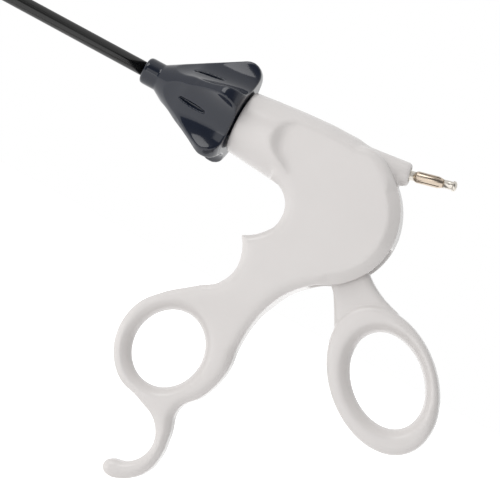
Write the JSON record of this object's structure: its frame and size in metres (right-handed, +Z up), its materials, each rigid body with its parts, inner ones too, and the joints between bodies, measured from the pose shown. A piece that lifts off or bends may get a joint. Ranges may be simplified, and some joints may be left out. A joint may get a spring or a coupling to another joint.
{
  "type": "laparoscopic grasper",
  "caption": "Laparoscopic grasper: 5 mm insulated shaft with rotation knob, double-action cam jaws, two-shell grip with finger ring and hook, thumb lever and 4 mm HF pin.",
  "frame": {"origin": "on the shaft's axis, at the front face of the rotation knob's nose", "axes": "+X along the shaft towards the grip and -X towards the jaws, +Z up away from the finger ring, Y across the grip"},
  "size_m": [0.4723, 0.0378, 0.144],
  "materials": {
    "white_abs": "satin-gloss moulded white ABS",
    "navy_plastic": "glossy moulded dark navy plastic",
    "grey_plastic": "turned grey plastic",
    "seal_rubber": "moulded rubber",
    "black_insulation": "glossy black shrunk-on insulation",
    "stainless": "satin stainless steel",
    "nickel_brass": "nickel-plated brass",
    "spring_bronze": "bright spring bronze"
  },
  "bodies": {
    "handle": {"handle_shell_left": "white_abs", "handle_shell_right": "white_abs", "lever_pivot_pin": "stainless", "hf_pin_insert": "nickel_brass", "hf_pin_core": "nickel_brass", "hf_pin_basket": "spring_bronze", "hf_contact_spring": "spring_bronze"},
    "lever": {"thumb_lever": "white_abs"},
    "rotator": {"rotation_knob": "navy_plastic", "knob_hub": "grey_plastic", "knob_drag_ring": "seal_rubber", "tube_collar": "stainless", "rod_seal": "seal_rubber", "seal_retainer": "grey_plastic", "shaft_tube": "stainless", "shaft_insulation": "black_insulation", "jaw_clevis": "stainless", "jaw_pivot_pin": "stainless"},
    "rod": {"actuation_rod": "stainless", "rod_end_spool": "stainless", "jaw_cam_pin": "stainless"},
    "upper_jaw": {"jaw_upper": "stainless"},
    "lower_jaw": {"jaw_lower": "stainless"}
  },
  "joints": [
    {"name": "lever_hinge", "type": "hinge", "parent": "handle", "child": "lever", "pos_m": [0.0785, 0, -0.013], "axis": [0, 1, 0], "range_deg": [-13, 11]},
    {"name": "knob_spin", "type": "hinge", "parent": "handle", "child": "rotator", "pos_m": [0, 0, 0], "axis": [1, 0, 0], "continuous": true},
    {"name": "rod_slide", "type": "slide", "parent": "rotator", "child": "rod", "axis": [1, 0, 0], "range_m": [-0.00295, 0.0025]},
    {"name": "jaw_upper_hinge", "type": "hinge", "parent": "rotator", "child": "upper_jaw", "pos_m": [-0.312, 0, 0], "axis": [0, 1, 0], "range_deg": [-13.75, 16.25]},
    {"name": "jaw_lower_hinge", "type": "hinge", "parent": "rotator", "child": "lower_jaw", "pos_m": [-0.312, 0, 0], "axis": [0, 1, 0], "range_deg": [-16.25, 13.75]}
  ],
  "couplings": [
    {"joint": "rod_slide", "follows": "lever_hinge", "m_per_rad": 0.013},
    {"joint": "jaw_upper_hinge", "follows": "lever_hinge", "ratio": -1.25},
    {"joint": "jaw_lower_hinge", "follows": "lever_hinge", "ratio": 1.25}
  ]
}
